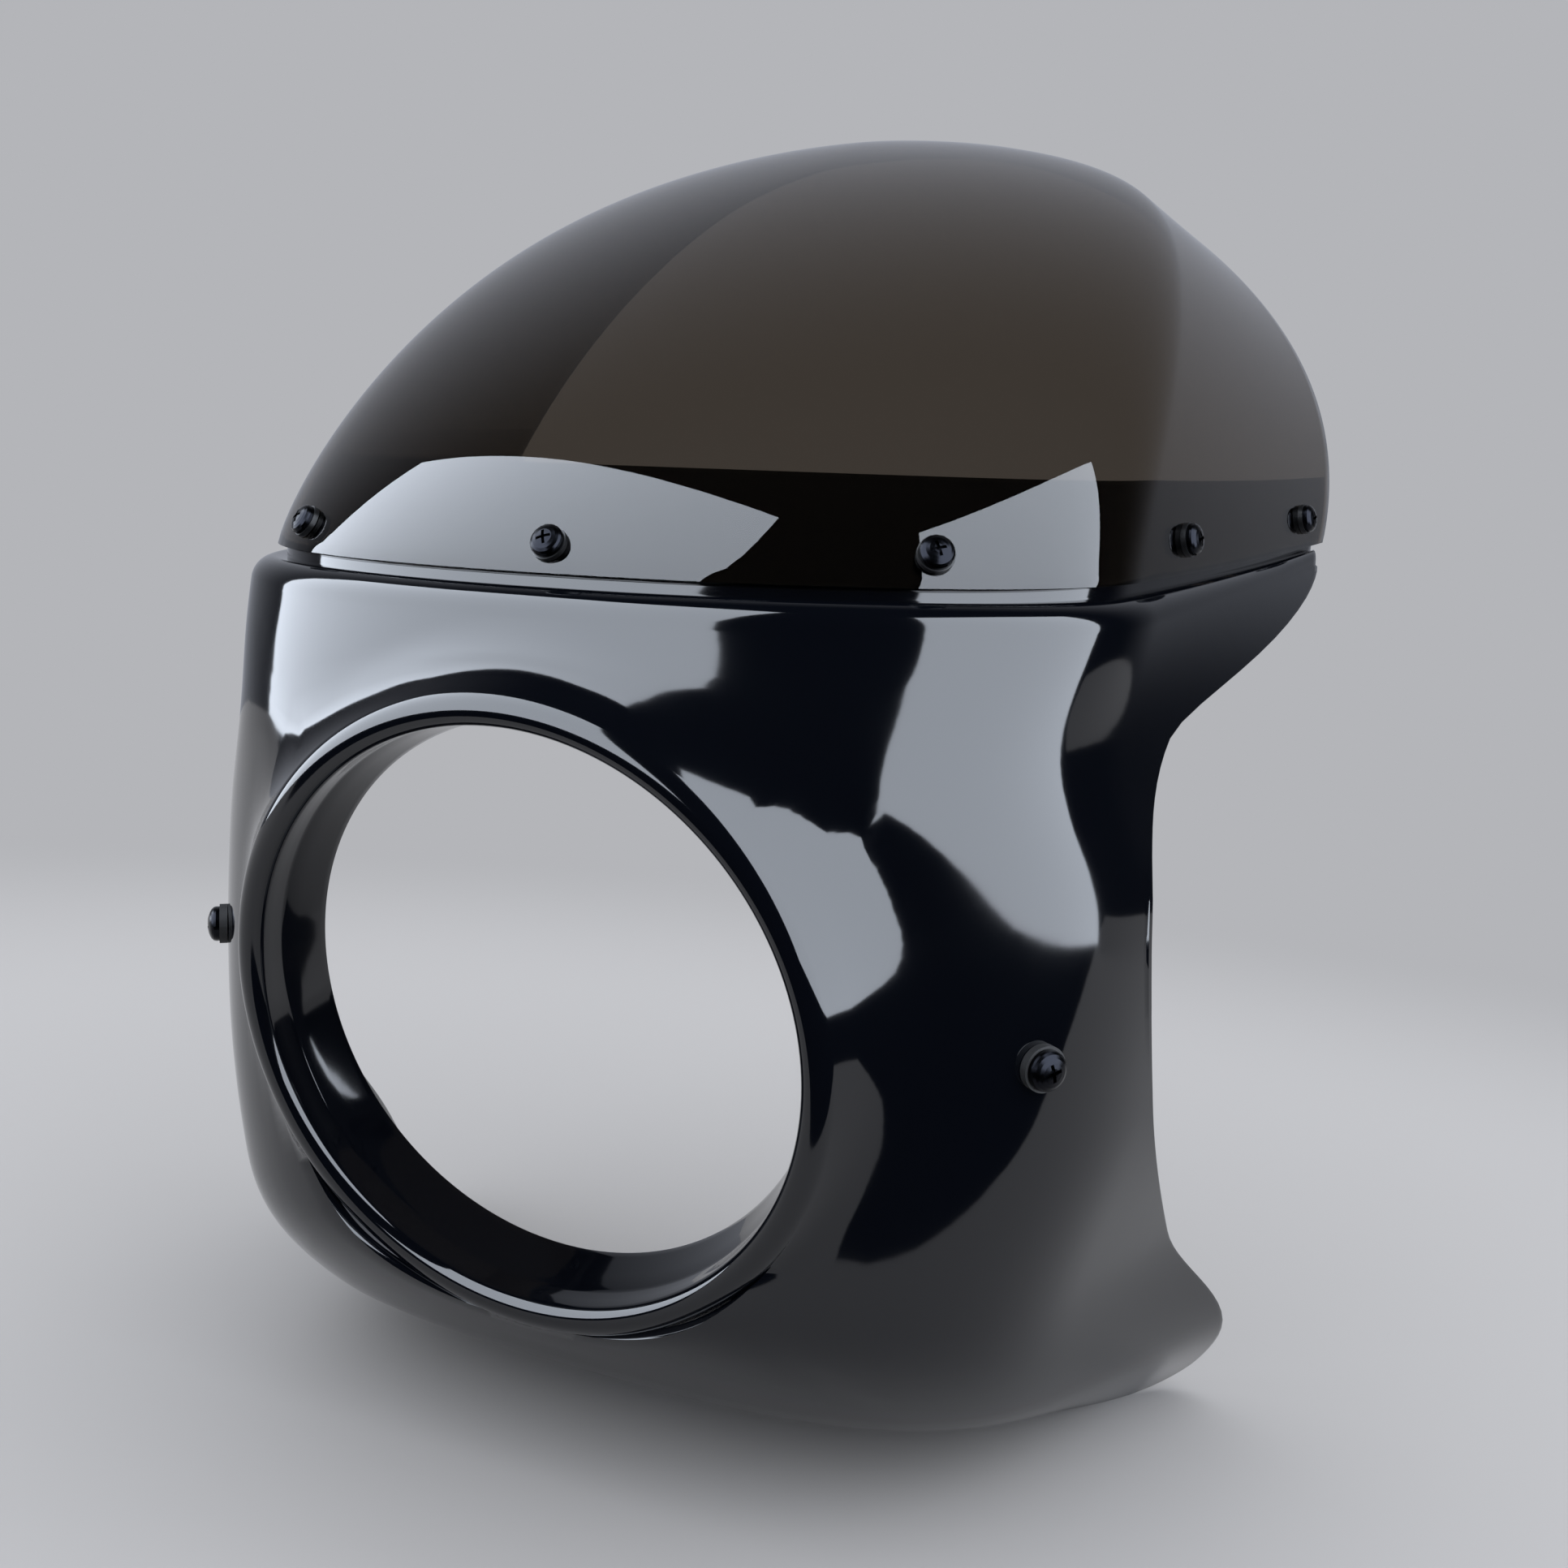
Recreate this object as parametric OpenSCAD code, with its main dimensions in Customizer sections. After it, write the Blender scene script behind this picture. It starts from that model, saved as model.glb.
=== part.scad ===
// Headlight cowl for a motorbike: a moulded shell round a 7 inch lamp, with a bubble screen screwed
// to the flange on its top. Millimetres, +Z up. The cowl stands as it is put down on a table, with
// the lamp opening facing -Y and leaning forward, and its origin is on the ground under its middle.

/* [Lamp opening] */
// Radius of the round opening that the lamp passes through
lamp_r = 89.5; // [70:0.5:95]
// Height of the middle of the opening above the ground
lamp_z = 150; // [140:1:165]
// How far the opening leans forward from upright, in degrees
lamp_lean = 14; // [8:1:18]
// Depth of the tunnel behind the opening
tunnel_depth = 21; // [18:1:32]
// Length of the straight stretch at the front of the tunnel
tunnel_land = 5; // [4:1:14]
// How much narrower in radius the tunnel is at its rear edge
tunnel_taper = 3.5; // [0.5:0.5:5]
// Radius of the rolled lip round the opening
lip_r = 4; // [3:0.5:5]
// How far the lip stands out in front of the opening's middle plane
lip_front = 7; // [5:0.5:9]
// Width of the flare that joins the lip to the shell's face
flare_w = 10; // [8:0.5:12]
// Depth of that flare along the lamp's axis
flare_depth = 17; // [13:0.5:19]

/* [Shell] */
// Thickness of the shell's wall
wall = 3; // [2.5:0.1:4]
// Height of the shoulder line at the lamp's axis, above the ground
shoulder_z = 268.8; // [262:0.2:276]
// Rise of the shoulder line towards the rear, in degrees
shoulder_rise = 9.3; // [6:0.1:12]
// Radius of the rounded shoulder under the screen
shoulder_r = 8; // [5:0.5:10]
// Half width of the shell where its front turns into its sides, at the shoulder
shoulder_half_w = 138; // [134:1:145]
// Where the upper wings' rear edges run out on the shoulder line
wing_y = 243; // [225:1:250]
// Height over which the wings' tips are rounded
wing_round = 10; // [6:1:14]
// Deepest point of the fork cut-outs in the rear edges
cut_out_y = 75; // [65:1:90]
// Where the lower lobes' rear edges run out on the ground
lobe_y = 226; // [215:1:235]
// Height over which the lobes' tips are rounded
lobe_round = 12; // [8:1:16]
// How far the lobes' tips draw in at the ground
lobe_draw = 24; // [14:1:28]
// Front of the chin's rim, on the ground
chin_y = 109; // [100:1:120]

/* [Screen] */
// Thickness of the screen
screen_t = 3; // [2:0.1:4]
// Height of the screen's top above the ground
screen_top_z = 490; // [450:1:520]
// Height of the screen's lower edge at the lamp's axis
screen_edge_z = 280.6; // [279:0.2:286]
// Front of the screen at its lower edge
screen_front_y = -6.7; // [-10:0.1:-4]
// How far the screen's sides stand inside the shoulder line
screen_in = 3.7; // [2:0.1:8]
// Rearmost point of the screen's top
screen_rear_y = 268.4; // [250:0.2:290]
// Height of the flange behind the screen, above the screen's lower edge
flange_h = 32; // [26:1:38]
// Depth of the ledge at the foot of the flange below the screen's lower edge
ledge_drop = 3.8; // [3:0.1:4.5]
// Gap between the flange and the screen
screen_gap = 0.2; // [0.1:0.05:0.4]

/* [Screen fasteners] */
// Number of screws on each side of the middle one
side_count = 3; // [1:1:3]
// Distance between two screws, measured along the screen
screw_pitch = 109.5; // [95:0.5:112]
// How much further back the rearmost screws sit than that
rear_step = 9; // [0:0.5:14]
// Height of the middle screw above the screen's lower edge
screw_rise = 8; // [7.5:0.5:12]
// Rise of the line of screws towards the rear, in degrees
screw_line_rise = 11; // [9.5:0.1:11.5]
// Radius of the screws' thread
screw_r = 2.5; // [2:0.5:3]
// Radius of the screws' heads
head_r = 5; // [4:0.5:6]
// Height of the screws' heads
head_h = 3.4; // [2.5:0.1:4]
// Length of the screws under their heads
screw_l = 20; // [18:1:25]
// Radius of the washers under the heads
washer_r = 5.4; // [4.6:0.1:7]
// Thickness of the washers under the heads
washer_t = 1.6; // [1:0.1:2]

/* [Side fasteners] */
// Distance of the side screws behind the lamp's axis
side_y = 39.5; // [34:0.5:55]
// Height of the side screws above the ground
side_z = 155; // [140:1:165]
// Radius of the side screws' thread
side_r = 3; // [2.5:0.5:4]
// Radius of the side screws' heads
side_head_r = 6; // [5:0.5:7]
// Height of the side screws' heads
side_head_h = 4; // [3:0.1:5]
// Length of the side screws under their heads
side_l = 25; // [22:1:32]
// Radius of the rubber washers
rubber_r = 6.8; // [6:0.1:8]
// Thickness of the rubber washers
rubber_t = 2.6; // [2:0.1:4]

/* [Hidden] */
$fn = 48;

// Distance from the lamp's axis to the middle of the whole cowl, which is its origin
origin_y = 127;
// Room round a screw in its hole, and between a washer and the screw
hole_gap = 0.25;
washer_gap = 0.15;
// Lengths that the cutters need to pass right through
hole_cut_l = 30;
lamp_cut_l = 160;
// Washers lie flat on curved walls, so they start a little way off them
outer_seat = 0.05;
inner_seat = 0.6;
side_inner_seat = 1;

// Stations of the shell from the ground, 0, to the shoulder line, 1. Each shape value has one
// number a station, and a smooth curve runs through them.
stations = [0, 0.12, 0.28, 0.48, 0.7, 0.87, 1];
front_y = [chin_y, 44, 6, -1, -12, -19, -13];
half_w = [for (wider = [-31, -17, -8, 0.7, -4.8, -15.8, 2.5]) shoulder_half_w + wider];
corner_l = [97, 76, 82, 90, 92, 87, 89];
corner_n = [2.13, 3.3, 2.84, 2.78, 2.6, 2.76, 2.35];
flare_k = [0.53, 0.41, 0.29, 0.31, 0.36, 0.36, 0.19];
rear_y = [lobe_y, lobe_y - 24, cut_out_y + 69, cut_out_y + 18, cut_out_y, cut_out_y + 16, wing_y];

// The shoulder line and the screen's lower edge curve up a little towards the rear
shoulder_curve_r = 2800;
edge_curve_r = 4500;

// The screen's shape values at its lower edge and at its top
screen_rise = 9;
screen_half_w = shoulder_half_w - screen_in;
screen_corner_l = 81.5;
screen_corner_n = [2.14, 1.77];
screen_flare_k = [0.21, 0.31];
screen_rear_edge = [248, screen_rear_y + 0.8];
screen_rear_bulge = 24.6;
screen_side_n = 2.7;
screen_front_n = 1.32;

// Facets: rows up the shell, rows up the screen, columns round a corner and along a side
shell_rows = 20;
lobe_rows = [0, 0.006, 0.015, 0.027, 0.05];
wing_rows = [0.975, 0.99, 1];
screen_rows = 20;
corner_steps = 16;
side_steps = 6;

// Slopes and values of a smooth curve through stations, that never overshoots them
function steps(t) = [for (i = [0 : len(t) - 2]) t[i + 1] - t[i]];
function slopes(x, y) =
    let (h = steps(x), d = [for (i = [0 : len(h) - 1]) (y[i + 1] - y[i]) / h[i]])
    [for (i = [0 : len(x) - 1])
        i == 0 ? d[0] : i == len(x) - 1 ? d[len(d) - 1] :
        d[i - 1] * d[i] <= 0 ? 0 :
        3 * (h[i - 1] + h[i]) / ((2 * h[i] + h[i - 1]) / d[i - 1] + (h[i] + 2 * h[i - 1]) / d[i])];
function place_in(x, v, i = 0) = i >= len(x) - 2 || v < x[i + 1] ? i : place_in(x, v, i + 1);
function smooth(x, y, v) =
    let (i = place_in(x, v), m = slopes(x, y), h = x[i + 1] - x[i], t = (v - x[i]) / h)
    y[i] * (1 + 2 * t) * pow(1 - t, 2) + m[i] * h * t * pow(1 - t, 2)
    + y[i + 1] * t * t * (3 - 2 * t) + m[i + 1] * h * t * t * (t - 1);

// One level section: a rounded corner of half width w, length l and squareness n, then a side that
// flares by k. q runs from -2 at one rear edge over 0 at the front to 2 at the other.
function corner_reach(n, a) = pow(pow(sin(a), n) + pow(cos(a), n), -1 / n);
function section_point(w, l, n, k, front, rear, q) =
    let (a = 90 * min(abs(q), 1), c = corner_reach(n, a),
         back = abs(q) <= 1 ? l * (1 - cos(a) * c) : l + (rear - front - l) * (abs(q) - 1),
         side = (abs(q) <= 1 ? w * sin(a) * c : w) + k * back)
    [sign(q) * side, front + back];

// A point of the shell's outer skin: v is the share of the way up to the shoulder line
function rising(y, rise, r) = y * tan(rise) + y * y / (2 * r);
function shoulder_at(y) = shoulder_z + rising(y, shoulder_rise, shoulder_curve_r);
// The rear edge, with the tips of its lobes and wings rounded: a height h from the end draws it in
function drawn_in(h, over, most) = h >= over ? 0 : most * (1 - sqrt(1 - pow(1 - h / over, 2)));
function rear_at(v) =
    smooth(stations, rear_y, v) - drawn_in(v * shoulder_at(lobe_y), lobe_round, lobe_draw)
    - drawn_in((1 - v) * shoulder_at(wing_y), wing_round, wing_round);
function shell_plan(v, q) = section_point(
    smooth(stations, half_w, v), smooth(stations, corner_l, v), smooth(stations, corner_n, v),
    smooth(stations, flare_k, v), smooth(stations, front_y, v), rear_at(v), q);
function shell_point(v, q) = let (p = shell_plan(v, q)) [p.x, p.y, v * shoulder_at(p.y)];

// A point of the screen's outer skin: v is the share of the way from its lower edge to its top
function bow(v, n) = pow(1 - pow(v, n), 1 / n);
function edge_at(y) = screen_edge_z + rising(y, screen_rise, edge_curve_r);
function mix(pair, v) = pair[0] + (pair[1] - pair[0]) * v;
function screen_point(v, q) =
    let (u = max(v, 0),
         front = screen_rear_y - (screen_rear_y - screen_front_y) * bow(u, screen_front_n),
         rear = mix(screen_rear_edge, u) + 4 * screen_rear_bulge * u * (1 - u),
         l = min(screen_corner_l * bow(u, screen_side_n), 0.9 * (rear - front)),
         p = section_point(screen_half_w * bow(u, screen_side_n), l, mix(screen_corner_n, u),
                           mix(screen_flare_k, u) * sqrt(1 - u), front, rear, q))
    [p.x, p.y, mix([edge_at(p.y), screen_top_z], v)];

// Grids of points: a row for each height, a column for each place round the section
columns = [for (i = [-corner_steps - side_steps : corner_steps + side_steps])
    sign(i) * (abs(i) <= corner_steps ? abs(i) / corner_steps : 1 + (abs(i) - corner_steps) / side_steps)];
function unit(v) = v / norm(v);
function grid_normal(g, i, j) =
    let (up = g[min(i + 1, len(g) - 1)][j] - g[max(i - 1, 0)][j],
         along = g[i][min(j + 1, len(g[i]) - 1)] - g[i][max(j - 1, 0)])
    unit(cross(along, up));
function inset(g, d) =
    [for (i = [0 : len(g) - 1]) [for (j = [0 : len(g[i]) - 1]) g[i][j] - d * grid_normal(g, i, j)]];

// A closed wall between an outer grid and an inner one
module wall_solid(outer, inner) {
    rows = len(outer);
    cols = len(outer[0]);
    last = rows * cols;
    top = rows - 1;
    side = cols - 1;
    points = [for (g = [outer, inner]) for (row = g) each row];
    function at(i, j) = i * cols + j;
    function quad(a, b, c, d) = [[a, c, b], [a, d, c]];
    faces = [
        for (i = [0 : rows - 2]) for (j = [0 : cols - 2])
            each quad(at(i, j), at(i, j + 1), at(i + 1, j + 1), at(i + 1, j)),
        for (i = [0 : rows - 2]) for (j = [0 : cols - 2])
            each quad(last + at(i, j), last + at(i + 1, j), last + at(i + 1, j + 1), last + at(i, j + 1)),
        for (j = [0 : cols - 2]) each quad(last + at(0, j), last + at(0, j + 1), at(0, j + 1), at(0, j)),
        for (j = [0 : cols - 2])
            each quad(at(top, j), at(top, j + 1), last + at(top, j + 1), last + at(top, j)),
        for (i = [0 : rows - 2]) each quad(last + at(i, 0), at(i, 0), at(i + 1, 0), last + at(i + 1, 0)),
        for (i = [0 : rows - 2])
            each quad(at(i, side), last + at(i, side), last + at(i + 1, side), at(i + 1, side))
    ];
    polyhedron(points, faces);
}

// The shell's outer skin from the ground over the shoulder and the ledge to the top of the flange
top_row = [for (q = columns) shell_point(1, q)];
function plan_normal(j) =
    let (along = top_row[min(j + 1, len(top_row) - 1)] - top_row[max(j - 1, 0)])
    unit([along.y, -along.x, 0]);
function shoulder_row(in, up) =
    [for (j = [0 : len(top_row) - 1]) top_row[j] - in * plan_normal(j) + [0, 0, up]];
flange_inset = screen_t + screen_gap;
flange_top = flange_h / (screen_top_z - edge_at(screen_front_y));
flange_foot = -ledge_drop / flange_h;
flange_levels = [flange_foot - 0.01, flange_foot, 0, 0.2, 0.4, 0.7, 1] * flange_top;
flange_reach = 0.99;
flange_rows = [for (v = flange_levels) [for (q = columns) screen_point(v, q * flange_reach)]];
flange_grid = inset(flange_rows, flange_inset);
shell_levels = [each lobe_rows, for (i = [2 : shell_rows - 1]) i / shell_rows, each wing_rows];
shell_grid = [
    for (v = shell_levels) [for (q = columns) shell_point(v, q)],
    for (a = [30 : 30 : 60]) shoulder_row(shoulder_r * (1 - cos(a)), shoulder_r * sin(a)),
    for (i = [1 : len(flange_levels) - 1]) flange_grid[i]
];
shell_inner = [for (row = inset(shell_grid, wall)) [for (p = row) [p.x, p.y, max(p.z, 0)]]];
screen_levels = [for (i = [0 : screen_rows]) sin(88 * i / screen_rows)];
screen_grid = [for (v = screen_levels) [for (q = columns) screen_point(v, q)]];

module move_to_origin() {
    translate([0, -origin_y, 0]) children();
}
module on_lamp_axis() {
    translate([0, 0, lamp_z]) rotate([lamp_lean, 0, 0]) rotate([-90, 0, 0]) children();
}

// A basis whose Z points along n, for a fastener at p
module seated(p, n) {
    side = unit(cross(n, [0, 0, 1]));
    up = cross(side, n);
    rows = [for (i = [0 : 2]) [side[i], -up[i], n[i], p[i]]];
    multmatrix(concat(rows, [[0, 0, 0, 1]])) children();
}

// Where the screen's screws sit: steps along the screen on the line of screws
function screw_level(q) =
    let (y = screen_point(0, q).y, z = screen_edge_z + screw_rise + y * tan(screw_line_rise))
    (z - edge_at(y)) / (screen_top_z - edge_at(y));
track = [for (i = [0 : 80]) let (q = i / 40) [q, screen_point(screw_level(q), q)]];
function run_to(i) = i == 0 ? 0 : run_to(i - 1) + norm(track[i][1] - track[i - 1][1]);
track_length = [for (i = [0 : 80]) [run_to(i), track[i][0]]];
function skin_normal(q, v) =
    let (e = 0.002)
    unit(cross(screen_point(v, q + e) - screen_point(v, q - e),
               screen_point(v + e, q) - screen_point(v - e, q)));
module each_screen_screw() {
    for (i = [-side_count : side_count]) {
        run = abs(i) * screw_pitch + (abs(i) == side_count ? rear_step : 0);
        q = sign(i) * lookup(run, track_length);
        v = screw_level(q);
        seated(screen_point(v, q), skin_normal(q, v)) children();
    }
}

// Where the side screws sit: on the shell's skin at side_y and side_z
function side_surface_x(y, z) =
    let (v = z / shoulder_at(y), w = smooth(stations, half_w, v), l = smooth(stations, corner_l, v),
         n = smooth(stations, corner_n, v), back = y - smooth(stations, front_y, v),
         c = max(1 - back / l, 0))
    w * pow(1 - pow(c, n), 1 / n) + smooth(stations, flare_k, v) * back;
side_slope_y = (side_surface_x(side_y + 1, side_z) - side_surface_x(side_y - 1, side_z)) / 2;
side_slope_z = (side_surface_x(side_y, side_z + 1) - side_surface_x(side_y, side_z - 1)) / 2;
side_point = [side_surface_x(side_y, side_z), side_y, side_z];
side_normal = unit([1, -side_slope_y, -side_slope_z]);
module each_side_screw() {
    seated(side_point, side_normal) children();
    mirror([1, 0, 0]) seated(side_point, side_normal) children();
}

function arc(cx, cy, r, from, to, n) =
    [for (i = [0 : n]) let (a = from + (to - from) * i / n) [cx + r * cos(a), cy + r * sin(a)]];

// Lip, flare and tunnel turned round the lamp's axis. In the profile X is the radius and Y runs
// back along the axis from the middle plane of the opening. The flare stays a little steeper than
// the shell's face, which it runs into, and the groove behind it keeps the moulding hollow.
lip_c = [lamp_r + lip_r, lip_r - lip_front];
lip_out_r = lip_c.x + lip_r;
tunnel_out_r = lamp_r + wall;
module lamp_ring() {
    rear_r = lamp_r - tunnel_taper;
    flare = [for (t = [0.1, 0.4, 1]) [lip_out_r + flare_w * t, lip_c.y + flare_depth * sqrt(t)]];
    back = lip_c.y + flare_depth + wall;
    rotate_extrude($fn = 96) polygon(concat(
        arc(lip_c.x, lip_c.y, lip_r, 180, 360, 8), flare,
        [[lip_out_r + flare_w, back], [lip_out_r + flare_w - wall, back]],
        [[lip_out_r, back - flare_depth / 2], [tunnel_out_r, back - flare_depth / 2]],
        [[tunnel_out_r, tunnel_depth - tunnel_taper], [rear_r + wall, tunnel_depth]],
        [[rear_r, tunnel_depth], [lamp_r, tunnel_land]]));
}

module cowl_shell() {
    color("#0B1018") move_to_origin() difference() {
        union() {
            difference() {
                wall_solid(shell_grid, shell_inner);
                on_lamp_axis() cylinder(h = lamp_cut_l, r = lip_c.x + lip_r / 2, center = true);
            }
            on_lamp_axis() lamp_ring();
        }
        each_screen_screw() cylinder(h = hole_cut_l, r = screw_r + hole_gap, center = true);
        each_side_screw() cylinder(h = hole_cut_l, r = side_r + hole_gap, center = true);
    }
}

module windscreen() {
    color("#4A443C", 0.6) move_to_origin() difference() {
        wall_solid(screen_grid, inset(screen_grid, screen_t));
        each_screen_screw() cylinder(h = hole_cut_l, r = screw_r + hole_gap, center = true);
    }
}

// A pan head screw with a cross recess, its head's underside at z = 0
recess_turn = 20;
recess_w = 0.18;
recess_span = 0.9;
module pan_screw(r, l, head, rise) {
    crown = rise * 1.6;
    difference() {
        union() {
            translate([0, 0, -l]) cylinder(h = l + 0.2, r = r);
            rotate_extrude() polygon(concat([[0, 0], [head, 0], [head, rise * 0.3]],
                [for (a = [15 : 15 : 75]) [head * cos(a), rise * (0.3 + 0.7 * sin(a))]], [[0, rise]]));
        }
        for (a = [0, 90]) rotate([0, 0, a + recess_turn])
            translate([-head * recess_span / 2, -head * recess_w / 2, rise * 0.45])
                cube([head * recess_span, head * recess_w, crown]);
    }
}

module ring(outer, inner, h) {
    difference() {
        cylinder(h = h, r = outer);
        translate([0, 0, -1]) cylinder(h = h + 2, r = inner);
    }
}

module hex_nut(r, across, h) {
    difference() {
        cylinder(h = h, r = across / sqrt(3), $fn = 6);
        translate([0, 0, -1]) cylinder(h = h + 2, r = r + washer_gap);
    }
}

// Heights of the stack along a screen screw, from the screen's outer face
screen_stack = screen_t + screen_gap + wall + inner_seat;
inner_washer_t = 1;
nut_h = 4;
nut_across = 8;
module screen_screws() {
    color("#14151A") move_to_origin() each_screen_screw()
        translate([0, 0, outer_seat + washer_t]) pan_screw(screw_r, screw_l, head_r, head_h);
}
module screen_head_washers() {
    color("#101114") move_to_origin() each_screen_screw()
        translate([0, 0, outer_seat]) ring(washer_r, screw_r + washer_gap, washer_t);
}
module screen_inner_washers() {
    color("#3A3C40") move_to_origin() each_screen_screw() translate([0, 0, -screen_stack - inner_washer_t])
        ring(washer_r, screw_r + washer_gap, inner_washer_t);
}
module screen_nuts() {
    color("#3A3C40") move_to_origin() each_screen_screw()
        translate([0, 0, -screen_stack - inner_washer_t - nut_h]) hex_nut(screw_r, nut_across, nut_h);
}

// Heights of the stack along a side screw, from the shell's outer face
side_stack = wall + side_inner_seat;
side_washer_t = 1.6;
side_washer_r = 7;
side_nut_h = 5;
side_nut_across = 10;
module side_screws() {
    color("#14151A") move_to_origin() each_side_screw()
        translate([0, 0, outer_seat + rubber_t]) pan_screw(side_r, side_l, side_head_r, side_head_h);
}
module side_rubber_washers() {
    color("#0C0C0D") move_to_origin() each_side_screw()
        translate([0, 0, outer_seat]) ring(rubber_r, side_r + washer_gap, rubber_t);
}
module side_inner_washers() {
    color("#3A3C40") move_to_origin() each_side_screw() translate([0, 0, -side_stack - side_washer_t])
        ring(side_washer_r, side_r + washer_gap, side_washer_t);
}
module side_nuts() {
    color("#3A3C40") move_to_origin() each_side_screw()
        translate([0, 0, -side_stack - side_washer_t - side_nut_h])
            hex_nut(side_r, side_nut_across, side_nut_h);
}

cowl_shell();
windscreen();
screen_screws();
screen_head_washers();
screen_inner_washers();
screen_nuts();
side_screws();
side_rubber_washers();
side_inner_washers();
side_nuts();
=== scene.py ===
"""Looks of a motorbike headlight cowl: a gloss black moulded shell round a lamp opening, with a
smoked bubble screen, its screws and its washers. Lengths in the shape functions are millimetres in
the part's own frame; meshes are metres."""
import math

import bpy
import numpy as np
from mathutils import Matrix, Vector


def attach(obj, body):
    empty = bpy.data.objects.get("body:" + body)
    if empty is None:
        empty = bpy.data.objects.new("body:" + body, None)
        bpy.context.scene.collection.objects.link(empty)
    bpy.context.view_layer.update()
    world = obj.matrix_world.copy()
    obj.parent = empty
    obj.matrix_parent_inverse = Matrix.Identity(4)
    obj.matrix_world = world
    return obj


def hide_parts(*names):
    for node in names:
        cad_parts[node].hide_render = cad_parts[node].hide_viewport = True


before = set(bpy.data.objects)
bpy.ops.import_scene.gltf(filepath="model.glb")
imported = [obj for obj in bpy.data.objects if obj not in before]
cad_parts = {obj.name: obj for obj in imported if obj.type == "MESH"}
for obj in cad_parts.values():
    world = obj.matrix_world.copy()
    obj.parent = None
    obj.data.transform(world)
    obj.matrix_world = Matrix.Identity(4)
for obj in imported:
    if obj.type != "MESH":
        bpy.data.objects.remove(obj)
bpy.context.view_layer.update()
bpy.ops.object.select_all(action="DESELECT")

MM = 0.001
ORIGIN_Y = 127.0

# The lamp opening: its middle, how far it leans and its profile
LAMP_R = 89.5
LAMP_Z = 150.0
LEAN = math.radians(14)
LAMP_BACK = np.array([0, math.cos(LEAN), math.sin(LEAN)])
LAMP_UP = np.array([0, -math.sin(LEAN), math.cos(LEAN)])
LAMP_MIDDLE = np.array([0, 0, LAMP_Z])
TUNNEL_DEPTH = 21.0
TUNNEL_LAND = 4.5
TUNNEL_REAR_R = 86.0
LIP_FRONT = 7.0
LIP_IN_R = 4.0
LIP_OUT_R = 6.5
LIP_CREST = LAMP_R + LIP_IN_R
FLARE_ANGLE = math.radians(60)
FLARE_FILLET = 12.0

WALL = 3.0
SCREEN_T = 3.0
SCREEN_GAP = 0.2
FLANGE_H = 32.0
LEDGE_DROP = 3.8
SHOULDER_R = 8.0
FLANGE_REACH = 0.99

# Stations of the shell from the ground, 0, to the shoulder line, 1
STATIONS = np.array([0, 0.12, 0.28, 0.48, 0.7, 0.87, 1])
FRONT_Y = np.array([109, 44, 6, -1, -12, -19, -13.0])
HALF_W = 138 + np.array([-31, -17, -8, 0.7, -4.8, -15.8, 2.5])
CORNER_L = np.array([97, 76, 82, 90, 92, 87, 89.0])
CORNER_N = np.array([2.13, 3.3, 2.84, 2.78, 2.6, 2.76, 2.35])
FLARE_K = np.array([0.53, 0.41, 0.29, 0.31, 0.36, 0.36, 0.19])
REAR_Y = np.array([226, 202, 144, 93, 75, 91, 243.0])
LOBE_ROUND, LOBE_DRAW, WING_ROUND = 12.0, 24.0, 10.0
CORNER_SHARE = 0.98  # the most of a side's depth that its rounded corner takes

# The screen
SCREEN_TOP_Z = 490.0
SCREEN_EDGE_Z = 280.6
SCREEN_FRONT_Y = -6.7
SCREEN_HALF_W = 134.3
SCREEN_REAR_Y = 268.4


# ---------------------------------------------------------------- shape functions
def smooth(values, v):
    """A curve through the stations' values that never overshoots them."""
    h, d = np.diff(STATIONS), np.diff(values) / np.diff(STATIONS)
    m = np.zeros(len(values))
    m[0], m[-1] = d[0], d[-1]
    for i in range(1, len(d)):
        if d[i - 1] * d[i] > 0:
            m[i] = 3 * (h[i - 1] + h[i]) / ((2 * h[i] + h[i - 1]) / d[i - 1] + (h[i] + 2 * h[i - 1]) / d[i])
    i = np.clip(np.searchsorted(STATIONS, v, side="right") - 1, 0, len(h) - 1)
    t = (v - STATIONS[i]) / h[i]
    return (values[i] * (1 + 2 * t) * (1 - t) ** 2 + m[i] * h[i] * t * (1 - t) ** 2
            + values[i + 1] * t * t * (3 - 2 * t) + m[i + 1] * h[i] * t * t * (t - 1))


def section(w, length, n, k, front, rear, q):
    """A point of a level section: a rounded corner, cut off where the rear edge is nearer, then a
    side that flares by k."""
    share = np.clip(CORNER_SHARE * (rear - front) / length, 0, 1)
    a = np.minimum(np.abs(q), 1) * np.arctan2((1 - (1 - share) ** n) ** (1 / n), 1 - share)
    sin, cos = np.sin(a), np.clip(np.cos(a), 0, 1)
    c = (sin ** n + cos ** n) ** (-1 / n)
    far = np.abs(q) > 1
    start = share * length
    back = np.where(far, start + (rear - front - start) * (np.abs(q) - 1), length * (1 - cos * c))
    side = np.where(far, w, w * sin * c) + k * back
    return np.sign(q) * side, front + back


def rising(y, degrees, r):
    return y * math.tan(math.radians(degrees)) + y * y / (2 * r)


def shoulder_at(y):
    return 268.8 + rising(y, 9.3, 2800)


def drawn_in(h, over, most):
    """How far a rounded tip of the rear edge draws in at a height h from its end."""
    return most * (1 - np.sqrt(1 - np.clip(1 - h / over, 0, 1) ** 2))


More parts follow.
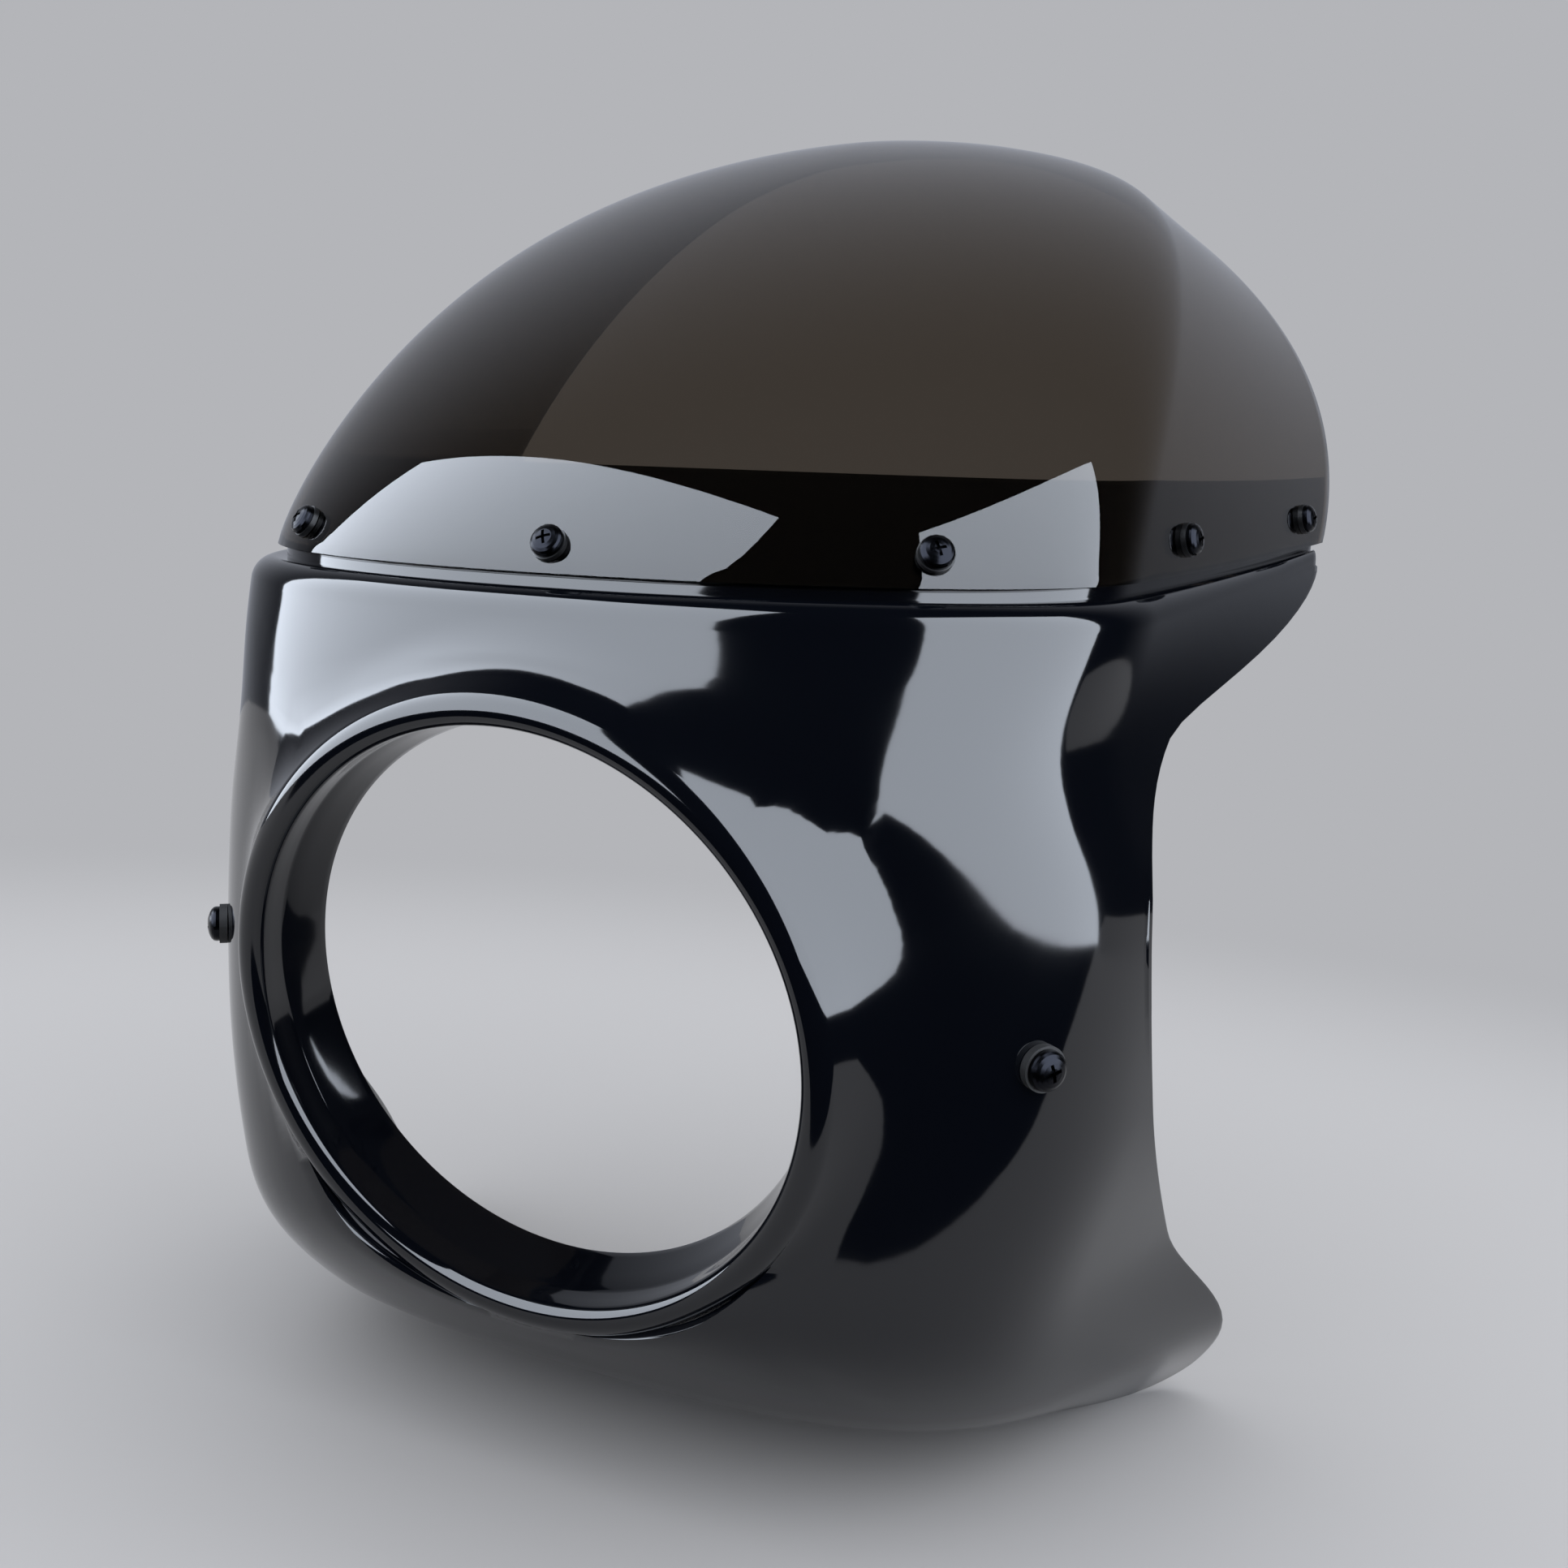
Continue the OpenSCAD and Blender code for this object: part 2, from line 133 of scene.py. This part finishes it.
def skin_point(v, q):
    """The shell's outer skin; v is the share of the way up to the shoulder line."""
    rear = (smooth(REAR_Y, v) - drawn_in(v * shoulder_at(REAR_Y[0]), LOBE_ROUND, LOBE_DRAW)
            - drawn_in((1 - v) * shoulder_at(REAR_Y[-1]), WING_ROUND, WING_ROUND))
    x, y = section(smooth(HALF_W, v), smooth(CORNER_L, v), smooth(CORNER_N, v), smooth(FLARE_K, v),
                   smooth(FRONT_Y, v), rear, q)
    return np.stack([x, y, v * shoulder_at(y)], -1)


def bow(v, n):
    return np.maximum(1 - v ** n, 0) ** (1 / n)


def edge_at(y):
    return SCREEN_EDGE_Z + rising(y, 9, 4500)


def screen_point(v, q):
    """The screen's outer skin; v is the share of the way from its lower edge to its top."""
    u = np.maximum(v, 0)
    front = SCREEN_REAR_Y - (SCREEN_REAR_Y - SCREEN_FRONT_Y) * bow(u, 1.32)
    rear = 248 + (SCREEN_REAR_Y + 0.8 - 248) * u + 4 * 24.6 * u * (1 - u)
    length = np.minimum(81.5 * bow(u, 2.7), 0.9 * (rear - front))
    x, y = section(SCREEN_HALF_W * bow(u, 2.7), length, 2.14 - 0.37 * u,
                   (0.21 + 0.1 * u) * np.sqrt(np.maximum(1 - u, 0)), front, rear, q)
    return np.stack([x, y, edge_at(y) * (1 - v) + SCREEN_TOP_Z * v], -1)


def unit(a):
    return a / np.maximum(np.linalg.norm(a, axis=-1, keepdims=True), 1e-9)


def grid_normal(g):
    """Outward normals of a grid of points, rows going up and columns going round."""
    return unit(np.cross(np.gradient(g, axis=1), np.gradient(g, axis=0)))


def in_lamp_plane(p):
    rel = p - LAMP_MIDDLE
    return rel[..., 0], rel @ LAMP_UP, rel @ LAMP_BACK


# ---------------------------------------------------------------- modelling helpers
def only(obj):
    bpy.ops.object.select_all(action="DESELECT")
    obj.select_set(True)
    bpy.context.view_layer.objects.active = obj


def place(obj, points):
    """Moves a mesh's vertices to points, given in millimetres in the shape functions' frame."""
    p = np.asarray(points, float).reshape(-1, 3).copy()
    p[:, 1] -= ORIGIN_Y
    obj.data.vertices.foreach_set("co", (p * MM).ravel())
    obj.data.update()


def sheet(name, rows, columns):
    """A flat grid that is then laid on a form: rows of points upwards, columns round it."""
    bpy.ops.mesh.primitive_grid_add(x_subdivisions=columns - 1, y_subdivisions=rows - 1, size=1)
    obj = bpy.context.object
    obj.name = obj.data.name = name
    return obj


def apply(obj, kind, **settings):
    only(obj)
    mod = obj.modifiers.new(kind.title(), kind)
    for key, value in settings.items():
        setattr(mod, key, value)
    bpy.ops.object.modifier_apply(modifier=mod.name)


def select_where(obj, kind, test):
    """Selects vertices, edges or faces of obj, in edit mode, for which test is true."""
    bpy.ops.object.mode_set(mode="EDIT")
    bpy.ops.mesh.select_mode(type=kind)
    bpy.ops.mesh.select_all(action="DESELECT")
    bpy.ops.object.mode_set(mode="OBJECT")
    items = {"VERT": obj.data.vertices, "EDGE": obj.data.edges, "FACE": obj.data.polygons}[kind]
    for item in items:
        item.select = bool(test(item))
    bpy.ops.object.mode_set(mode="EDIT")


def object_mode():
    bpy.ops.object.mode_set(mode="OBJECT")


def join(main, *others):
    only(main)
    for other in others:
        other.select_set(True)
    bpy.ops.object.join()
    return main


# ---------------------------------------------------------------- materials
FLOOR_SIZE, FLOOR_TURN = 9.0, math.radians(22.5)
FLOOR_EDGE_Y = -0.269  # in front of this the gloss mirrors no floor
FLOOR_FADE = 0.6, 1.5  # distances over which the floor becomes the background
WORLD_LIGHT, WORLD_DARK = 1.1, 0.02
CARD_GLOW = 8.5


def linear(hex_colour):
    """An sRGB hex value as a linear colour with alpha."""
    parts = [int(hex_colour[i:i + 2], 16) / 255 for i in (1, 3, 5)]
    return [c / 12.92 if c <= 0.04045 else ((c + 0.055) / 1.055) ** 2.4 for c in parts] + [1]


def add_node(tree, kind, links=None, **settings):
    """Adds a node: settings are its attributes, or its sockets by name, and links maps a socket to
    the output that feeds it."""
    node = tree.nodes.new(kind)
    for key, value in settings.items():
        if hasattr(node, key):
            setattr(node, key, value)
        else:
            node.inputs[key.replace("_", " ")].default_value = value
    for key, source in (links or {}).items():
        tree.links.new(source, node.inputs[key])
    return node


def new_material(name, **values):
    mat = bpy.data.materials.new(name)
    mat.use_nodes = True
    tree = mat.node_tree
    bsdf = tree.nodes["Principled BSDF"]
    for key, value in values.items():
        bsdf.inputs[key.replace("_", " ")].default_value = value
    return mat, tree, bsdf


# Moulded ABS, injection moulded in a polished tool: deep black with a hint of blue, mirror gloss, a
# very faint orange peel about 9 mm across and a little haze from handling in patches of 60 mm.
abs_black, t, b = new_material("moulded_abs_black", Base_Color=linear("#05070D"), IOR=1.54)
place_in = add_node(t, "ShaderNodeTexCoord").outputs["Object"]
haze = add_node(t, "ShaderNodeTexNoise", {"Vector": place_in}, Scale=1 / 0.06, Detail=3.0)
rough = add_node(t, "ShaderNodeMapRange", {"Value": haze.outputs["Fac"]}, From_Min=0.35, From_Max=0.7,
                 To_Min=0.045, To_Max=0.085)
t.links.new(rough.outputs["Result"], b.inputs["Roughness"])
peel = add_node(t, "ShaderNodeTexNoise", {"Vector": place_in}, Scale=1 / 0.009, Detail=1.0)
bump = add_node(t, "ShaderNodeBump", {"Height": peel.outputs["Fac"]}, Strength=0.015, Distance=0.001)
t.links.new(bump.outputs["Normal"], b.inputs["Normal"])

# Smoked acrylic, vacuum formed from clear grey-brown sheet: it darkens what stands behind it, with a
# polished face and a slight waviness 40 mm across from forming.
smoked, t, b = new_material("formed_smoked_acrylic", Base_Color=linear("#5A5249"), IOR=1.49,
                            Transmission_Weight=1.0, Roughness=0.0)
place_in = add_node(t, "ShaderNodeTexCoord").outputs["Object"]
wave = add_node(t, "ShaderNodeTexNoise", {"Vector": place_in}, Scale=1 / 0.04, Detail=1.0)
bump = add_node(t, "ShaderNodeBump", {"Height": wave.outputs["Fac"]}, Strength=0.01, Distance=0.002)
t.links.new(bump.outputs["Normal"], b.inputs["Normal"])

# Steel screws with a black zinc finish: dark and smooth, a satin gloss with fine mottling 1 mm across.
black_zinc, t, b = new_material("black_zinc_steel", Base_Color=linear("#1B1C20"), Metallic=1.0)
place_in = add_node(t, "ShaderNodeTexCoord").outputs["Object"]
mottle = add_node(t, "ShaderNodeTexNoise", {"Vector": place_in}, Scale=1 / 0.001, Detail=2.0)
rough = add_node(t, "ShaderNodeMapRange", {"Value": mottle.outputs["Fac"]}, To_Min=0.16, To_Max=0.3)
t.links.new(rough.outputs["Result"], b.inputs["Roughness"])

# Nylon washers, injection moulded: satin black.
nylon, t, b = new_material("moulded_nylon_black", Base_Color=linear("#0B0C0F"), IOR=1.53)
place_in = add_node(t, "ShaderNodeTexCoord").outputs["Object"]
grain = add_node(t, "ShaderNodeTexNoise", {"Vector": place_in}, Scale=1 / 0.0008, Detail=2.0)
rough = add_node(t, "ShaderNodeMapRange", {"Value": grain.outputs["Fac"]}, To_Min=0.3, To_Max=0.42)
t.links.new(rough.outputs["Result"], b.inputs["Roughness"])

# Rubber washers, cut from moulded EPDM sheet: matt black with a fine grain.
rubber, t, b = new_material("cut_epdm_rubber", Base_Color=linear("#101012"), IOR=1.52, Roughness=0.6)
place_in = add_node(t, "ShaderNodeTexCoord").outputs["Object"]
grain = add_node(t, "ShaderNodeTexNoise", {"Vector": place_in}, Scale=1 / 0.0006, Detail=3.0)
bump = add_node(t, "ShaderNodeBump", {"Height": grain.outputs["Fac"]}, Strength=0.3, Distance=0.0002)
t.links.new(bump.outputs["Normal"], b.inputs["Normal"])

# Zinc plated steel nuts and washers: pale grey metal, turned and stamped, with plating that clouds in
# spots 2 mm across.
zinc, t, b = new_material("zinc_plated_steel", Metallic=1.0)
place_in = add_node(t, "ShaderNodeTexCoord").outputs["Object"]
cloud = add_node(t, "ShaderNodeTexNoise", {"Vector": place_in}, Scale=1 / 0.002, Detail=3.0)
tone = add_node(t, "ShaderNodeMix", {"Factor": cloud.outputs["Fac"]}, data_type="RGBA")
tone.inputs[6].default_value = linear("#8E9196")
tone.inputs[7].default_value = linear("#A9ACAF")
t.links.new(tone.outputs[2], b.inputs["Base Color"])
rough = add_node(t, "ShaderNodeMapRange", {"Value": cloud.outputs["Fac"]}, To_Min=0.25, To_Max=0.45)
t.links.new(rough.outputs["Result"], b.inputs["Roughness"])


# ---------------------------------------------------------------- the shell
# Grid of the skin: a block of cells over the opening, and rows and columns round it
HOLE_STEPS = 24
HOLE_LOW, HOLE_HIGH, HOLE_Q = 0.21, 0.90, 0.44
ROWS_LOW, ROWS_HIGH = 18, 12
CORNER_STEPS, SIDE_STEPS = 30, 44
HOLE_R = LIP_CREST + LIP_OUT_R * math.sin(FLARE_ANGLE)
HOLE_DEPTH = LIP_OUT_R - LIP_FRONT - LIP_OUT_R * math.cos(FLARE_ANGLE)
HOLE_REACH = 1.24
FACE_DEPTH = 75.0  # the front face ends this far back
FILLET_EASE = 8.0  # the flare's fillet reaches its full size this far out


def shell_levels():
    """Heights of the rows: below the lamp opening, beside it and above it."""
    return np.concatenate([HOLE_LOW * np.linspace(0, 1, ROWS_LOW + 1)[:-1] ** 1.5,
                           np.linspace(HOLE_LOW, HOLE_HIGH, 2 * HOLE_STEPS + 1),
                           1 - (1 - HOLE_HIGH) * np.linspace(1, 0, ROWS_HIGH + 1)[1:] ** 1.5])


def shell_places():
    """Places of the columns round the section: the side, the corner, beside the opening and on."""
    half = np.concatenate([np.linspace(0, HOLE_Q, HOLE_STEPS + 1),
                           np.linspace(HOLE_Q, 1, CORNER_STEPS + 1)[1:],
                           np.linspace(1, 2, SIDE_STEPS + 1)[1:]])
    return np.concatenate([-half[:0:-1], half])


def round_the_hole(v, q):
    """Moves grid lines near the opening so that the block of cells in it has a round border."""
    s = q / HOLE_Q
    t = (v - (HOLE_LOW + HOLE_HIGH) / 2) / ((HOLE_HIGH - HOLE_LOW) / 2)
    c = np.maximum(np.abs(s), np.abs(t))
    near = np.maximum(c, 1)
    upright = np.abs(t) >= np.abs(s)
    share = np.where(upright, s, t) / np.maximum(c, 1e-6) * math.pi / 4
    turn = np.where(upright, np.where(t > 0, share, math.pi - share),
                    np.where(s > 0, math.pi / 2 - share, -math.pi / 2 + share))
    blend = np.clip((c - 1) / (HOLE_REACH - 1), 0, 1)
    blend = blend * blend * (3 - 2 * blend)
    a, up, _ = in_lamp_plane(skin_point(v, q))
    want_a = (1 - blend) * HOLE_R * near * np.sin(turn) + blend * a
    want_up = (1 - blend) * HOLE_R * near * np.cos(turn) + blend * up
    for _ in range(12):
        e = 1e-4
        a0, b0, _ = in_lamp_plane(skin_point(v, q))
        av, bv, _ = in_lamp_plane(skin_point(v + e, q))
        aq, bq, _ = in_lamp_plane(skin_point(v, q + e))
        j11, j12, j21, j22 = (av - a0) / e, (aq - a0) / e, (bv - b0) / e, (bq - b0) / e
        det = j11 * j22 - j12 * j21
        det = np.where(np.abs(det) < 1e-3, 1e-3, det)
        ra, rb = want_a - a0, want_up - b0
        move = (blend < 1) & (c > 0.9999)
        v = np.where(move, np.clip(v + np.clip((ra * j22 - rb * j12) / det, -0.1, 0.1), 0, 1), v)
        q = np.where(move, q + np.clip((rb * j11 - ra * j21) / det, -0.1, 0.1), q)
    return v, q


def flared(p):
    """Draws the skin forward round the opening into the lip's flare, with a fillet where they meet."""
    a, up, depth = in_lamp_plane(p)
    r = np.hypot(a, up)
    out = np.maximum(r - HOLE_R, 0)
    line = HOLE_DEPTH + out * math.tan(FLARE_ANGLE)
    fillet = FLARE_FILLET * np.clip(out / FILLET_EASE, 1e-3, 1)
    h = np.maximum(fillet - np.abs(line - depth), 0) / fillet
    new = np.minimum(line, depth) - h * h * fillet / 4
    front = (p[..., 1] < FACE_DEPTH)[..., None]
    return np.where(front, p + (new - depth)[..., None] * LAMP_BACK, p)


def make_shell():
    v, q = np.meshgrid(shell_levels(), shell_places(), indexing="ij")
    body = flared(skin_point(*round_the_hole(v, q)))
    top = body[-1]
    # The shoulder rolls in over SHOULDER_R, then a level ledge runs to the foot of the flange
    levels = np.array([-LEDGE_DROP - 0.3, -LEDGE_DROP, -LEDGE_DROP + 0.8, 0, 6, 12, 18, 24,
                       FLANGE_H - 1.5, FLANGE_H])
    fv, fq = np.meshgrid(levels / (SCREEN_TOP_Z - edge_at(SCREEN_FRONT_Y)), q[0] * FLANGE_REACH,
                         indexing="ij")
    flange = screen_point(fv, fq)
    flange = flange - (SCREEN_T + SCREEN_GAP) * grid_normal(flange)
    foot = flange[1]
    way = foot - top
    reach = np.linalg.norm(way[:, :2], axis=1, keepdims=True)
    roll = np.minimum(SHOULDER_R, 0.8 * reach)
    level = np.concatenate([way[:, :2] / reach, np.zeros((len(way), 1))], 1)
    rise = np.concatenate([np.zeros((len(way), 2)), way[:, 2:]], 1)
    shoulder = [top + roll * (1 - math.cos(a)) * level + math.sin(a) * rise
                for a in np.radians([12, 24, 36, 48, 60, 72, 82, 90])]
    ledge = [foot - 0.7 * np.minimum(1, 0.3 * (reach - roll)) * level]
    grid = np.concatenate([body, shoulder, ledge, flange[1:]])
    rows, columns = grid.shape[:2]
    shell = sheet("shell", rows, columns)
    place(shell, grid)
    # Faces of the block inside the opening come out
    low, high = ROWS_LOW, ROWS_LOW + 2 * HOLE_STEPS
    left = SIDE_STEPS + CORNER_STEPS
    right = left + 2 * HOLE_STEPS
    inside = {(i, j) for i in range(low, high) for j in range(left, right)}
    per_row = columns - 1
    only(shell)
    select_where(shell, "FACE", lambda f: (f.index // per_row, f.index % per_row) in inside)
    bpy.ops.mesh.delete(type="FACE")
    object_mode()
    return shell


def make_lip():
    """Lip and tunnel: a profile spun round the lamp's axis."""
    outer = [(LIP_CREST + LIP_OUT_R * math.sin(a), LIP_OUT_R - LIP_FRONT - LIP_OUT_R * math.cos(a))
             for a in np.radians(np.arange(60, 4, -7.5))]
    inner = [(LIP_CREST - LIP_IN_R * math.sin(a), LIP_IN_R - LIP_FRONT - LIP_IN_R * math.cos(a))
             for a in np.radians(np.arange(0, 91, 9))]
    tunnel = [(LAMP_R, 0), (LAMP_R, TUNNEL_LAND - 0.8), (LAMP_R - 0.05, TUNNEL_LAND),
              (LAMP_R - 0.3, TUNNEL_LAND + 0.8),
              (LAMP_R - 1.6, TUNNEL_LAND + 6), (TUNNEL_REAR_R + 0.4, TUNNEL_DEPTH - 2),
              (TUNNEL_REAR_R, TUNNEL_DEPTH)]
    profile = outer + inner + tunnel
    bpy.ops.mesh.primitive_grid_add(x_subdivisions=len(profile) - 1, y_subdivisions=1, size=1)
    lip = bpy.context.object
    lip.name = lip.data.name = "lip"
    # One edge of the grid becomes the profile, the other is taken off
    n = len(profile)
    points = [LAMP_MIDDLE + r * LAMP_UP + d * LAMP_BACK for r, d in profile]
    place(lip, points + points)
    only(lip)
    select_where(lip, "VERT", lambda x: x.index >= n)
    bpy.ops.mesh.delete(type="VERT")
    bpy.ops.mesh.select_all(action="SELECT")
    centre = (LAMP_MIDDLE - [0, ORIGIN_Y, 0]) * MM
    bpy.ops.mesh.spin(steps=8 * HOLE_STEPS, angle=2 * math.pi, center=tuple(centre), axis=tuple(LAMP_BACK))
    bpy.ops.mesh.select_all(action="SELECT")
    bpy.ops.mesh.remove_doubles(threshold=0.00002)
    object_mode()
    return lip


shell = make_shell()
shell = join(shell, make_lip())
only(shell)
bpy.ops.object.mode_set(mode="EDIT")
bpy.ops.mesh.select_all(action="SELECT")
bpy.ops.mesh.remove_doubles(threshold=0.0001)
bpy.ops.mesh.normals_make_consistent(inside=False)
object_mode()
apply(shell, "SOLIDIFY", thickness=WALL * MM, offset=-1, use_even_offset=False)
apply(shell, "BEVEL", width=0.0007, segments=2, limit_method="ANGLE", angle_limit=math.radians(60))
for vertex in shell.data.vertices:
    vertex.co.z = max(vertex.co.z, 0)
only(shell)
bpy.ops.object.shade_smooth()
shell.data.materials.clear()
shell.data.materials.append(abs_black)
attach(shell, "root")
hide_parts("cowl_shell")


# ---------------------------------------------------------------- the screen
def make_screen():
    rows, half = 90, 60
    v = np.sin(np.radians(np.linspace(0, 89.2, rows)))
    places = np.concatenate([np.linspace(0, 1, half + 1), np.linspace(1, 2, 31)[1:]])
    v, q = np.meshgrid(v, np.concatenate([-places[:0:-1], places]), indexing="ij")
    grid = screen_point(v, q)
    obj = sheet("bubble_screen", *grid.shape[:2])
    place(obj, grid)
    apply(obj, "SOLIDIFY", thickness=SCREEN_T * MM, offset=-1, use_even_offset=False)
    apply(obj, "BEVEL", width=0.0006, segments=2, limit_method="ANGLE", angle_limit=math.radians(60))
    only(obj)
    bpy.ops.object.shade_smooth()
    return obj


screen = make_screen()
screen.data.materials.clear()
screen.data.materials.append(smoked)
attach(screen, "root")
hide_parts("windscreen")

for name, material in (("screen_screws", black_zinc), ("screen_head_washers", nylon),
                       ("screen_inner_washers", zinc), ("screen_nuts", zinc), ("side_screws", black_zinc),
                       ("side_rubber_washers", rubber), ("side_inner_washers", zinc), ("side_nuts", zinc)):
    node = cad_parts[name]
    for slot in node.material_slots:
        slot.material = material

# ---------------------------------------------------------------- floor, light and camera
PALE, ROOM, CARD = linear("#B4B5B9"), linear("#A6AAB4"), linear("#D6DEEA")


def stage_material(name, colour, strength):
    """The glow of a pale card."""
    mat = bpy.data.materials.new(name)
    mat.use_nodes = True
    tree = mat.node_tree
    glow = add_node(tree, "ShaderNodeEmission", Color=colour, Strength=strength)
    tree.links.new(glow.outputs[0], tree.nodes["Material Output"].inputs["Surface"])
    return mat


# The pale floor. It fades into the background as seen straight, and in front of the view the gloss
# mirrors it as dark, as the lower half of the shell shows.
bpy.ops.mesh.primitive_plane_add(size=FLOOR_SIZE)
floor = bpy.context.object
floor.name = "floor"
floor.rotation_euler = (0, 0, FLOOR_TURN)
pale, t, b = new_material("pale_floor", Base_Color=PALE, Roughness=1.0, Specular_IOR_Level=0.0)
floor.data.materials.append(pale)
place_in = add_node(t, "ShaderNodeTexCoord").outputs["Object"]
away = add_node(t, "ShaderNodeVectorMath", {0: place_in}, operation="LENGTH")
fade = add_node(t, "ShaderNodeMapRange", {"Value": away.outputs["Value"]}, interpolation_type="SMOOTHSTEP",
                From_Min=FLOOR_FADE[0], From_Max=FLOOR_FADE[1])
path = add_node(t, "ShaderNodeLightPath")
straight = add_node(t, "ShaderNodeMath", {0: path.outputs["Is Camera Ray"],
                                          1: path.outputs["Is Transmission Ray"]}, operation="MAXIMUM")
fade_seen = add_node(t, "ShaderNodeMath", {0: fade.outputs["Result"], 1: straight.outputs[0]},
                     operation="MULTIPLY")
glow = add_node(t, "ShaderNodeEmission", Color=PALE, Strength=1.0)
faded = add_node(t, "ShaderNodeMixShader", {0: fade_seen.outputs[0], 1: b.outputs[0], 2: glow.outputs[0]})
parts = add_node(t, "ShaderNodeSeparateXYZ", {0: place_in})
before = add_node(t, "ShaderNodeMath", {0: parts.outputs["Y"]}, operation="LESS_THAN")
before.inputs[1].default_value = FLOOR_EDGE_Y
mirrored = add_node(t, "ShaderNodeMath", {0: before.outputs[0], 1: path.outputs["Is Glossy Ray"]},
                    operation="MULTIPLY")
shade = add_node(t, "ShaderNodeEmission", Color=ROOM, Strength=WORLD_DARK)
mixed = add_node(t, "ShaderNodeMixShader", {0: mirrored.outputs[0], 1: faded.outputs[0], 2: shade.outputs[0]})
t.links.new(mixed.outputs[0], t.nodes["Material Output"].inputs["Surface"])

world = bpy.data.worlds.new("studio")
bpy.context.scene.world = world
world.use_nodes = True
t = world.node_tree
out = t.nodes["World Output"]
lit = add_node(t, "ShaderNodeBackground", Color=linear("#FFFFFF"), Strength=WORLD_LIGHT)
seen = add_node(t, "ShaderNodeBackground", Color=PALE, Strength=1.0)
# The gloss mirrors a dark room that grows pale behind the cowl
toward = add_node(t, "ShaderNodeVectorMath", {0: add_node(t, "ShaderNodeTexCoord").outputs["Generated"]},
                  operation="DOT_PRODUCT")
toward.inputs[1].default_value = (-0.37, 0.9, 0.2)
grow = add_node(t, "ShaderNodeMapRange", {"Value": toward.outputs["Value"]}, interpolation_type="SMOOTHSTEP",
                From_Min=0.2, From_Max=1.0, To_Min=WORLD_DARK, To_Max=1.0)
room = add_node(t, "ShaderNodeBackground", {"Strength": grow.outputs["Result"]}, Color=ROOM)
path = add_node(t, "ShaderNodeLightPath")
either = add_node(t, "ShaderNodeMath", {0: path.outputs["Is Camera Ray"],
                                        1: path.outputs["Is Transmission Ray"]}, operation="MAXIMUM")
first = add_node(t, "ShaderNodeMixShader", {0: path.outputs["Is Glossy Ray"], 1: lit.outputs[0],
                                            2: room.outputs[0]})
mixed = add_node(t, "ShaderNodeMixShader", {0: either.outputs[0], 1: first.outputs[0], 2: seen.outputs[0]})
t.links.new(mixed.outputs[0], out.inputs["Surface"])


def softbox(name, azimuth, distance, left, right, low, high, watts):
    """An upright softbox that faces the cowl from an azimuth, counted from the front towards +X, and
    reaches so far to its left and right: a lamp that lights, and a card of the same size that only
    the gloss mirrors."""
    az = math.radians(azimuth)
    out, along = Vector((math.sin(az), -math.cos(az), 0)), Vector((math.cos(az), math.sin(az), 0))
    at = Vector((0, -0.13, (low + high) / 2)) + distance * out + (right - left) / 2 * along
    turn = (-out).to_track_quat("-Z", "Y").to_euler()
    light = bpy.data.lights.new(name, "AREA")
    light.shape, light.size, light.size_y, light.energy = "RECTANGLE", left + right, high - low, watts
    lamp = bpy.data.objects.new(name, light)
    bpy.context.collection.objects.link(lamp)
    lamp.location, lamp.rotation_euler = at, turn
    lamp.visible_glossy = lamp.visible_transmission = lamp.visible_camera = False
    bpy.ops.mesh.primitive_plane_add(size=1, location=at, rotation=turn)
    card = bpy.context.object
    card.name = name + "_card"
    card.scale = (left + right, high - low, 1)
    card.visible_diffuse = card.visible_shadow = card.visible_camera = card.visible_transmission = False
    card.data.materials.append(stage_material(name + "_glow", CARD, CARD_GLOW))
    return card


card_left = softbox("left_box", -25, 1.0, 2.36, 0.4, 0.1, 2.4, 12)
card_right = softbox("right_box", 60, 1.0, 0.27, 1.11, 0.02, 1.9, 8)

camera = bpy.data.cameras.new("camera")
camera.lens, camera.sensor_width = 35.99, 36
view = bpy.data.objects.new("camera", camera)
bpy.context.collection.objects.link(view)
RIGHT = (0.920317, 0.381099, 0.088208)
UP = (-0.105524, 0.024739, 0.994109)
AHEAD = (-0.376672, 0.924203, -0.062983)
EYE = (0.233941, -0.515659, 0.25435)
view.matrix_world = Matrix([[RIGHT[i], UP[i], -AHEAD[i], EYE[i]] for i in range(3)] + [[0, 0, 0, 1]])
bpy.context.scene.camera = view
bpy.context.scene.view_settings.view_transform = "Standard"
